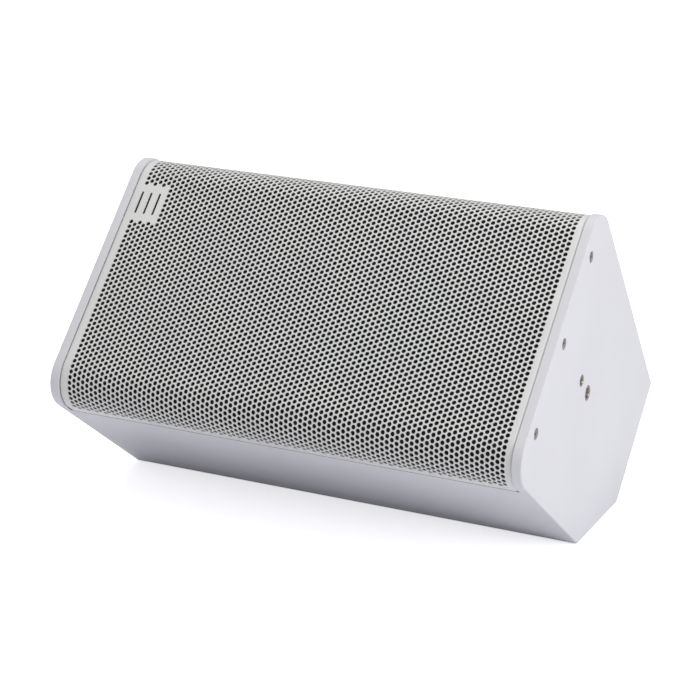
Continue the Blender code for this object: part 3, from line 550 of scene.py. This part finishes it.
def rollTree():
    tree = newTree("rolledPerforatedSheet", [
        ("Hole tile", "NodeSocketObject"), ("Plain tile", "NodeSocketObject"),
        ("Slot tile", "NodeSocketObject"), ("Slot end tile", "NodeSocketObject"),
        ("Half tile", "NodeSocketObject"), ("Flat half width", "NodeSocketFloat"),
        ("Roll radius", "NodeSocketFloat"), ("Half length", "NodeSocketFloat"),
        ("Fold radius", "NodeSocketFloat"), ("Full turn", "NodeSocketFloat"),
        ("Material", "NodeSocketMaterial")])
    nodes, links = tree.nodes, tree.links
    kind = nodes.new("GeometryNodeInputNamedAttribute")
    kind.data_type = "INT"
    kind.inputs["Name"].default_value = "kind"
    join = nodes.new("GeometryNodeJoinGeometry")
    wanted = (("Hole tile", holeKind, 0.0), ("Plain tile", plainKind, 0.0), ("Slot tile", slotKind, 0.0),
              ("Slot end tile", slotLowKind, 0.0), ("Slot end tile", slotHighKind, math.pi),
              ("Half tile", halfKind, 0.0))
    for label, number, turn in wanted:
        same = nodes.new("FunctionNodeCompare")
        same.data_type = "INT"
        same.operation = "EQUAL"
        links.new(kind.outputs[0], same.inputs[2])
        same.inputs[3].default_value = number
        tile = nodes.new("GeometryNodeObjectInfo")
        links.new(inputOf(tree, label), tile.inputs["Object"])
        place = nodes.new("GeometryNodeInstanceOnPoints")
        place.inputs["Rotation"].default_value = (0.0, 0.0, turn)
        links.new(inputOf(tree, "Geometry"), place.inputs["Points"])
        links.new(same.outputs[0], place.inputs["Selection"])
        links.new(tile.outputs["Geometry"], place.inputs["Instance"])
        links.new(place.outputs["Instances"], join.inputs[0])
    margin = nodes.new("GeometryNodeDeleteGeometry")
    isPoint = nodes.new("FunctionNodeCompare")
    isPoint.data_type = "INT"
    isPoint.operation = "GREATER_THAN"
    links.new(kind.outputs[0], isPoint.inputs[2])
    links.new(inputOf(tree, "Geometry"), margin.inputs["Geometry"])
    links.new(isPoint.outputs[0], margin.inputs["Selection"])
    links.new(margin.outputs["Geometry"], join.inputs[0])
    real = nodes.new("GeometryNodeRealizeInstances")
    merge = nodes.new("GeometryNodeMergeByDistance")
    merge.inputs["Distance"].default_value = 0.00002
    links.new(join.outputs[0], real.inputs[0])
    links.new(real.outputs[0], merge.inputs["Geometry"])
    position = nodes.new("GeometryNodeInputPosition")
    parts = nodes.new("ShaderNodeSeparateXYZ")
    links.new(position.outputs[0], parts.inputs[0])
    x, u = parts.outputs[0], parts.outputs[1]
    flat, radius = inputOf(tree, "Flat half width"), inputOf(tree, "Roll radius")
    reach = calc(tree, "ABSOLUTE", u)
    side = calc(tree, "SIGN", u)
    fullTurn = inputOf(tree, "Full turn")
    rolled = calc(tree, "DIVIDE", calc(tree, "MAXIMUM", calc(tree, "SUBTRACT", reach, flat), 0.0), radius)
    turn = calc(tree, "MINIMUM", rolled, fullTurn)
    straight = calc(tree, "MULTIPLY", calc(tree, "SUBTRACT", rolled, turn), radius)
    sine, cosine = calc(tree, "SINE", turn), calc(tree, "COSINE", turn)
    fold = inputOf(tree, "Fold radius")
    start = calc(tree, "SUBTRACT", inputOf(tree, "Half length"), fold)
    past = calc(tree, "MAXIMUM", calc(tree, "SUBTRACT", calc(tree, "ABSOLUTE", x), start), 0.0)
    room = calc(tree, "SUBTRACT", calc(tree, "MULTIPLY", fold, fold), calc(tree, "MULTIPLY", past, past))
    drop = calc(tree, "SUBTRACT", fold, calc(tree, "SQRT", calc(tree, "MAXIMUM", room, 0.0)))
    arm = calc(tree, "SUBTRACT", radius, drop)
    rolledS = calc(tree, "MULTIPLY_ADD", arm, sine, calc(tree, "MINIMUM", reach, flat))
    rolledN = calc(tree, "SUBTRACT", calc(tree, "MULTIPLY", arm, cosine), radius)
    s = calc(tree, "MULTIPLY_ADD", straight, cosine, rolledS)
    n = calc(tree, "SUBTRACT", rolledN, calc(tree, "MULTIPLY", straight, sine))
    joined = nodes.new("ShaderNodeCombineXYZ")
    links.new(x, joined.inputs[0])
    links.new(calc(tree, "MULTIPLY", s, side), joined.inputs[1])
    links.new(n, joined.inputs[2])
    bend = nodes.new("GeometryNodeSetPosition")
    links.new(merge.outputs["Geometry"], bend.inputs["Geometry"])
    links.new(joined.outputs[0], bend.inputs["Position"])
    coat = nodes.new("GeometryNodeSetMaterial")
    links.new(bend.outputs["Geometry"], coat.inputs["Geometry"])
    links.new(inputOf(tree, "Material"), coat.inputs["Material"])
    links.new(coat.outputs["Geometry"], nodes["Group Output"].inputs[0])
    return tree


def flatHalfWidth():
    return cornerArcs()[0][0].x


def makeGrille():
    tiles = makeTiles()
    tree = rollTree()
    values = dict(zip(("Hole tile", "Plain tile", "Slot tile", "Slot end tile", "Half tile"), tiles))
    values["Flat half width"] = flatHalfWidth()
    values["Roll radius"] = cabinet["frontRadius"]
    values["Half length"] = cabinet["length"] / 2 - cabinet["lip"] - grille["sideGap"]
    values["Fold radius"] = grille["fold"]
    values["Full turn"] = math.pi / 2 + math.atan(cabinet["sideTaper"])
    values["Material"] = grillePaint
    made = []
    for name, upper in (("grilleUpperHalf", True), ("grilleLowerHalf", False)):
        sheet = sheetPlan(name, upper)
        runTree(sheet, tree, values)
        baked(sheet)
        wall = sheet.modifiers.new("thickness", "SOLIDIFY")
        wall.thickness = grille["sheet"]
        wall.offset = -1.0
        baked(sheet)
        made.append(sheet)
    for tile in tiles:
        bpy.data.objects.remove(tile, do_unlink=True)
    return made


def grilleFlanges():
    half = cabinet["length"] / 2 - cabinet["lip"] - grille["sideGap"]
    wide = flatHalfWidth() - 0.002
    shape = bmesh.new()
    for side in (-1, 1):
        low, high = sorted((side * (half - grille["sheet"]), side * (half - 0.00005)))
        corners = ((low, -wide), (high, -wide), (high, wide), (low, wide))
        addRings(shape, [[(x, s, n) for x, s in corners] for n in (-grille["flange"], -grille["fold"])])
    return makeObject("grilleEndFlanges", shape, grillePaint)


upperGrille, lowerGrille = makeGrille()
settle(upperGrille, "grille", slot="grille_steel")
settle(lowerGrille, slot="grille_steel")
settle(grilleFlanges(), slot="grille_steel")
print("grille made", len(upperGrille.data.polygons), len(lowerGrille.data.polygons))


foam = {"gap": 0.0004, "thick": 0.005, "short": 0.0035, "cells": 120}


def foamBlanket():
    half = cabinet["length"] / 2 - cabinet["lip"] - foam["short"]
    outer = cornerArcs(grille["sheet"] + foam["gap"])
    inner = cornerArcs(grille["sheet"] + foam["gap"] + foam["thick"])
    front, back = [*reversed(outer[0]), *reversed(outer[4])], [*reversed(inner[0]), *reversed(inner[4])]
    ring = [*front, *reversed(back)]
    shape = bmesh.new()
    steps = [half * (2 * i / foam["cells"] - 1) for i in range(foam["cells"] + 1)]
    addRings(shape, [[(x, p.x, p.y) for p in ring] for x in steps])
    return makeObject("grilleFoam", shape, foamBlack)


foamPiece = settle(foamBlanket(), "grille_foam", slot="dark_foam")


def hexRing(across, height, sides):
    points = []
    for i in range(sides):
        turn = 2 * math.pi * i / sides
        local = (turn + math.pi / 6) % (math.pi / 3) - math.pi / 6
        reach = across / 2 / math.cos(local)
        points.append((reach * math.cos(turn), reach * math.sin(turn), height))
    return points


def socketScrew(name, shank, head, tall, length, key):
    sides = 24
    shape = bmesh.new()
    rings = [circle(shank * 0.8, -length, sides), circle(shank, -length + 0.0006, sides),
             circle(shank, 0.0, sides), circle(head, 0.0, sides)]
    for i in range(5):
        turn = math.radians(18 * i)
        radius = head - tall * 0.75 * (1 - math.cos(turn))
        rings.append(circle(radius, tall * (0.25 + 0.75 * math.sin(turn)), sides))
    rings.append(hexRing(key + 0.0004, tall, sides))
    rings.append(hexRing(key, tall - 0.0002, sides))
    rings.append(hexRing(key, tall * 0.3, sides))
    rings.append(hexRing(key * 0.3, tall * 0.15, sides))
    addRings(shape, rings)
    return makeObject(name, shape, darkSteel)


def threadedInsert(name, radius, bore, length, pitch):
    sides = 32
    rings = [circle(radius - 0.0003, -length, sides), circle(radius, -length + 0.0003, sides),
             circle(radius, -0.0004, sides), circle(radius - 0.0003, 0.0, sides),
             circle(bore + 0.0009, 0.0, sides), circle(bore + 0.0002, -0.0008, sides)]
    turns = int((length - 0.002) / pitch)
    for i in range(turns):
        deep = -0.0008 - i * pitch
        rings.append(circle(bore, deep - pitch * 0.5, sides))
        rings.append(circle(bore + pitch * 0.35, deep - pitch, sides))
    rings.append(circle(bore, -length, sides))
    shape = bmesh.new()
    addRings(shape, rings, closed=True)
    return makeObject(name, shape, darkSteel)


def spreadTree():
    tree = newTree("setOnPoints", [("Piece", "NodeSocketObject"), ("Material", "NodeSocketMaterial")])
    nodes, links = tree.nodes, tree.links
    aim = nodes.new("GeometryNodeInputNamedAttribute")
    aim.data_type = "FLOAT_VECTOR"
    aim.inputs["Name"].default_value = "aim"
    facing = nodes.new("FunctionNodeAlignRotationToVector")
    facing.axis = "Z"
    links.new(aim.outputs[0], facing.inputs["Vector"])
    piece = nodes.new("GeometryNodeObjectInfo")
    links.new(inputOf(tree, "Piece"), piece.inputs["Object"])
    place = nodes.new("GeometryNodeInstanceOnPoints")
    links.new(inputOf(tree, "Geometry"), place.inputs["Points"])
    links.new(piece.outputs["Geometry"], place.inputs["Instance"])
    links.new(facing.outputs[0], place.inputs["Rotation"])
    real = nodes.new("GeometryNodeRealizeInstances")
    coat = nodes.new("GeometryNodeSetMaterial")
    links.new(place.outputs["Instances"], real.inputs[0])
    links.new(real.outputs[0], coat.inputs["Geometry"])
    links.new(inputOf(tree, "Material"), coat.inputs["Material"])
    links.new(coat.outputs["Geometry"], nodes["Group Output"].inputs[0])
    return tree


onPoints = spreadTree()


def spread(name, template, points, material):
    mesh = bpy.data.meshes.new(name)
    mesh.from_pydata([place for place, _ in points], [], [])
    mesh.attributes.new("aim", "FLOAT_VECTOR", "POINT")
    for item, (_, aim) in zip(mesh.attributes["aim"].data, points):
        item.vector = aim
    mesh.materials.append(material)
    made = bpy.data.objects.new(name, mesh)
    bpy.context.collection.objects.link(made)
    runTree(made, onPoints, {"Piece": template, "Material": material})
    baked(made)
    bpy.data.objects.remove(template, do_unlink=True)
    return made


outerX = cabinet["length"] / 2
sides = (("right", 1), ("left", -1))
screwX = outerX - fixings["screwSetBack"]
screwPoints = [((side * screwX, s, fixings["screwN"]), (side, 0, 0))
               for _, side in sides for s in fixings["screwS"]]
screwTemplate = socketScrew("screw", fixings["screwShank"], fixings["screwHead"], fixings["screwTall"],
                            fixings["screwLong"], fixings["screwKey"])
screws = spread("grilleScrews", screwTemplate, screwPoints, darkSteel)
settle(screws, *[f"grille_screw_{label}_{i}" for label, _ in sides for i in (1, 2, 3)], slot="dark_steel")
for kind in ("yoke", "locating"):
    insertX = outerX - fixings["insertSetBack"]
    points = [((side * insertX, 0.0, fixings[kind + "N"]), (side, 0, 0)) for _, side in sides]
    template = threadedInsert("insert", fixings[kind + "Radius"], fixings[kind + "Bore"],
                              fixings["insertLong"], fixings[kind + "Pitch"])
    inserts = spread(kind + "Inserts", template, points, darkSteel)
    settle(inserts, f"{kind}_insert_right", f"{kind}_insert_left", slot="dark_steel")
print("fixings made")


def connectorPlate():
    face = plate["recess"] - cabinet["depth"] - plate["bedGap"]
    half = (plate["width"] / 2, plate["height"] / 2)
    low = (plate["x"] - half[0], plate["s"] - half[1], face - plate["thick"])
    high = (plate["x"] + half[0], plate["s"] + half[1], face)
    made = makeObject("connectorPlate", boxShape(low, high), plateBlack)
    holes = bmesh.new()
    for kind, steps in (("socket", 48), ("screw", 24)):
        for offset in (-plate[kind + "Offset"], plate[kind + "Offset"]):
            centre = (plate["x"] + offset, plate["s"])
            radius = plate[kind + "Hole"]
            addRings(holes, [circle(radius, n, steps, centre) for n in (face - 0.004, face + 0.002)])
    cutOut(made, holes)
    softenEdges(made, 0.0004)
    return settle(made, "connector_plate", slot="black_plate")


socket = {
    "flange": 0.015, "flangeThick": 0.003, "flangeEdge": 0.0022, "edge": 0.0008, "bore": 0.0095, "body": 0.012,
    "hub": 0.0015, "floor": 0.019, "rear": 0.024, "core": 0.0052, "coreTop": 0.0046, "pin": 0.002,
    "coreEdge": 0.0008, "coreFront": 0.0014, "key": 0.0011, "keyReach": 0.0086, "keys": 4,
}


def twistSocket(name, offset):
    outside = plate["recess"] - cabinet["depth"] - plate["thick"] - 0.0006
    centre = (plate["x"] + offset, plate["s"])
    flange, bore, body, hub = socket["flange"], socket["bore"], socket["body"], socket["hub"]
    floor, rear = outside + socket["floor"], outside + socket["rear"]
    brim, front = outside - socket["flangeEdge"], outside - socket["flangeThick"]
    profile = [(hub, floor), (bore, floor), (bore, brim), (bore + socket["edge"], front),
               (flange - socket["edge"], front), (flange, brim), (flange, outside),
               (body, outside), (body, rear), (hub, rear)]
    shape = bmesh.new()
    addRings(shape, [circle(r, n, 48, centre) for r, n in profile], closed=True)
    tip = outside - socket["coreFront"]
    core = [(socket["core"], floor), (socket["core"], outside - socket["coreEdge"]), (socket["coreTop"], tip),
            (socket["pin"], tip), (socket["pin"], floor)]
    addRings(shape, [circle(r, n, 32, centre) for r, n in core], closed=True)
    for i in range(socket["keys"]):
        turn = math.radians(45 + 90 * i)
        reach = socket["keyReach"]
        place = (centre[0] + reach * math.cos(turn), centre[1] + reach * math.sin(turn))
        addRings(shape, [circle(socket["key"], n, 10, place) for n in (outside + 0.0188, outside + 0.001)])
    return makeObject(name, shape, blackPlastic)


connectorPlate()
settle(twistSocket("socketIn", -plate["socketOffset"]), "socket_in", slot="black_plastic")
settle(twistSocket("socketLink", plate["socketOffset"]), "socket_link", slot="black_plastic")
outside = plate["recess"] - cabinet["depth"] - plate["thick"] - plate["screwSeat"]
platePoints = [((plate["x"] + side * plate["screwOffset"], plate["s"], outside), (0, 0, -1)) for side in (-1, 1)]
plateTemplate = socketScrew("plateScrew", plate["screwShank"], plate["screwHead"], plate["screwTall"],
                            plate["screwLong"], plate["screwKey"])
settle(spread("plateScrews", plateTemplate, platePoints, darkSteel), "plate_screw_1", "plate_screw_2",
       slot="dark_steel")
print("connector plate made")


softBlocks = {
    "damping_lining": {"name": "dampingWadding", "material": waddingWhite, "slot": "wadding", "voxel": 0.004,
                       "inset": 0.0012, "ripple": 0.0011, "waves": (190, 160, 210), "fill": 0.5},
    "crossover_pad": {"name": "crossoverFoam", "material": foamBlack, "slot": "dark_foam", "voxel": 0.0012,
                      "inset": 0.0003, "ripple": 0.00025, "waves": (900, 760, 610), "fill": 1.0},
}


def softBlock(node):
    block = softBlocks[node]
    shape = bmesh.new()
    shape.from_mesh(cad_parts[node].data)
    bmesh.ops.remove_doubles(shape, verts=shape.verts, dist=0.0001)
    made = makeObject(block["name"], shape, block["material"])
    fine = made.modifiers.new("remesh", "REMESH")
    fine.mode = "VOXEL"
    fine.voxel_size = block["voxel"]
    baked(made)
    waves = block["waves"]
    for vertex in made.data.vertices:
        p = vertex.co
        swell = math.sin(p.x * waves[0]) * math.sin(p.y * waves[1] + 1) * math.cos(p.z * waves[2])
        vertex.co = p - vertex.normal * (block["inset"] + block["ripple"] * swell)
    made.data.materials.clear()
    made.data.materials.append(block["material"])
    settle(made, node, slot=block["slot"], smooth=60, place=False)


for node in softBlocks:
    softBlock(node)

woofer = {
    "x": -0.092, "wall": 0.0008, "sectors": 12, "sectorSteps": 8,
    "rollBase": -0.0268, "rollOuter": 0.0916, "rollInner": 0.0715, "rollCentre": 0.0798, "rollRadius": 0.006,
    "rollSteps": 16, "rollHeld": 0.0829, "rollDriven": 0.0738,
    "waveBase": -0.0764, "waveMiddle": -0.0759, "rim": 0.0608, "waveOuter": 0.057, "waveInner": 0.029,
    "neck": 0.0267, "waveTurn": 0.014, "waveHigh": 0.0007, "waveSteps": 44, "waveHeld": 0.0550,
}


def surroundLine():
    middle, radius, base = woofer["rollCentre"], woofer["rollRadius"], woofer["rollBase"]
    turns = [math.pi * i / woofer["rollSteps"] for i in range(woofer["rollSteps"] + 1)]
    roll = [(middle + radius * math.cos(a), base + radius * math.sin(a)) for a in turns]
    return [(woofer["rollOuter"], base), *roll, (woofer["rollInner"], base)]


def spiderLine():
    outer, inner, steps = woofer["waveOuter"], woofer["waveInner"], woofer["waveSteps"]
    line = [(woofer["rim"], woofer["waveBase"])]
    for i in range(steps + 1):
        r = outer + (inner - outer) * i / steps
        wave = math.cos(2 * math.pi * (outer - r) / woofer["waveTurn"])
        line.append((r, woofer["waveMiddle"] - woofer["waveHigh"] * wave))
    return [*line, (woofer["neck"], woofer["waveBase"])]


def flexRing(name, node, line, material):
    # the ring is built as separate sectors, each its own piece swept along its own arc
    loop = [*line, *[(r, n - woofer["wall"]) for r, n in reversed(line)]]
    width = 2 * math.pi / woofer["sectors"]
    for k in range(woofer["sectors"]):
        turns = [width * (k + i / woofer["sectorSteps"]) for i in range(woofer["sectorSteps"] + 1)]
        shape = bmesh.new()
        addRings(shape, [[(woofer["x"] + r * math.cos(a), r * math.sin(a), n) for r, n in loop]
                         for a in turns])
        made = makeObject(f"{name}{k + 1:02d}", shape, material)
        made.data.transform(toRow)
        made.data.shade_smooth()
        made.data.set_sharp_from_angle(angle=math.radians(50))
        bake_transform(made)
        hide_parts(node)


flexRing("surroundSector", "woofer_surround", surroundLine(),
         rubberBlack)
flexRing("spiderSector", "woofer_spider", spiderLine(),
         spiderCloth)
print("surround and spider made")

insideFinish = {
    plywoodBlack: ("front_baffle", "window_brace"),
    castBlack: ("woofer_basket",),
    rubberBlack: ("woofer_gasket",),
    conePulp: ("woofer_cone", "woofer_dust_cap"),
    copperWire: ("woofer_voice_coil", "crossover_low_inductor", "crossover_high_inductor"),
    zinc: ("woofer_top_plate", "woofer_yoke", "hf_pole_piece", "hf_top_plate"),
    ferrite: ("woofer_magnet", "hf_magnet"),
    titanium: ("hf_diaphragm",),
    blackPlastic: ("horn", "hf_rear_cover", "port_tube_upper", "port_tube_lower"),
    boardGreen: ("crossover_board",),
    filmOrange: ("crossover_capacitor",),
    ceramicWhite: ("crossover_resistor",),
    sheathRed: ("woofer_lead", "hf_lead"),
    darkSteel: tuple(f"{unit}_screw_{i}" for unit in ("woofer", "horn") for i in (1, 2, 3, 4)),
}
for material, names in insideFinish.items():
    for name in names:
        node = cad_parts[name]
        for slot in node.material_slots:
            slot.material = material
print("inside finished")


studio = {
    "world": 0.43, "backdrop": 1.0, "floor": (0.95, 0.95, 1.0), "lift": 0.62, "aim": (0.0, 0.0, 0.14),
    "lights": (
        {"name": "rightSoftbox", "power": 43.0, "size": 1.6, "place": (2.8, -0.5, 1.6)},
        {"name": "topSoftbox", "power": 40.0, "size": 2.4, "place": (-0.4, 0.2, 3.0)},
    ),
}


def floorPlane():
    made = newMaterial("paleFloor", studio["floor"], 0.9)
    nodes, links = made.node_tree.nodes, made.node_tree.links
    # a white sweep lit on its own: the extra light shows on the floor and doesn't reach the object
    path = nodes.new("ShaderNodeLightPath")
    lift = nodes.new("ShaderNodeEmission")
    lift.inputs["Strength"].default_value = studio["lift"]
    both = nodes.new("ShaderNodeAddShader")
    choose = nodes.new("ShaderNodeMixShader")
    shader = nodes["Principled BSDF"]
    links.new(shader.outputs[0], both.inputs[0])
    links.new(lift.outputs[0], both.inputs[1])
    links.new(path.outputs["Is Camera Ray"], choose.inputs[0])
    links.new(shader.outputs[0], choose.inputs[1])
    links.new(both.outputs[0], choose.inputs[2])
    links.new(choose.outputs[0], nodes["Material Output"].inputs["Surface"])
    floor = makeObject("floor", boxShape((-12.0, -12.0, -0.02), (12.0, 12.0, -0.0004)), made)


def areaLight(name, power, size, place):
    light = bpy.data.lights.new(name, "AREA")
    light.energy = power
    light.size = size
    made = bpy.data.objects.new(name, light)
    made.location = place
    made.rotation_euler = (Vector(studio["aim"]) - Vector(place)).to_track_quat("-Z", "Y").to_euler()
    bpy.context.collection.objects.link(made)


def addWorld():
    world = bpy.data.worlds.new("studio")
    world.use_nodes = True
    nodes, links = world.node_tree.nodes, world.node_tree.links
    # the backdrop shows white behind the object, and lights it with the softer strength
    light, shown = nodes["Background"], nodes.new("ShaderNodeBackground")
    for background, strength in ((light, studio["world"]), (shown, studio["backdrop"])):
        background.inputs["Color"].default_value = (1.0, 1.0, 1.0, 1.0)
        background.inputs["Strength"].default_value = strength
    path, choose = nodes.new("ShaderNodeLightPath"), nodes.new("ShaderNodeMixShader")
    links.new(path.outputs["Is Camera Ray"], choose.inputs[0])
    links.new(light.outputs[0], choose.inputs[1])
    links.new(shown.outputs[0], choose.inputs[2])
    links.new(choose.outputs[0], nodes["World Output"].inputs["Surface"])
    bpy.context.scene.world = world


camera = {"place": (0.77873, -1.64747, 0.75825), "turn": (71.0817, -0.2829, 25.6571), "lens": 112.72}


def addCamera():
    data = bpy.data.cameras.new("camera")
    data.lens = camera["lens"]
    data.sensor_width = 36.0
    made = bpy.data.objects.new("camera", data)
    made.location = camera["place"]
    made.rotation_euler = [math.radians(turn) for turn in camera["turn"]]
    bpy.context.collection.objects.link(made)
    bpy.context.scene.camera = made


floorPlane()
for light in studio["lights"]:
    areaLight(**light)
addWorld()
addCamera()
bpy.context.scene.view_settings.view_transform = "Standard"
print("studio made")
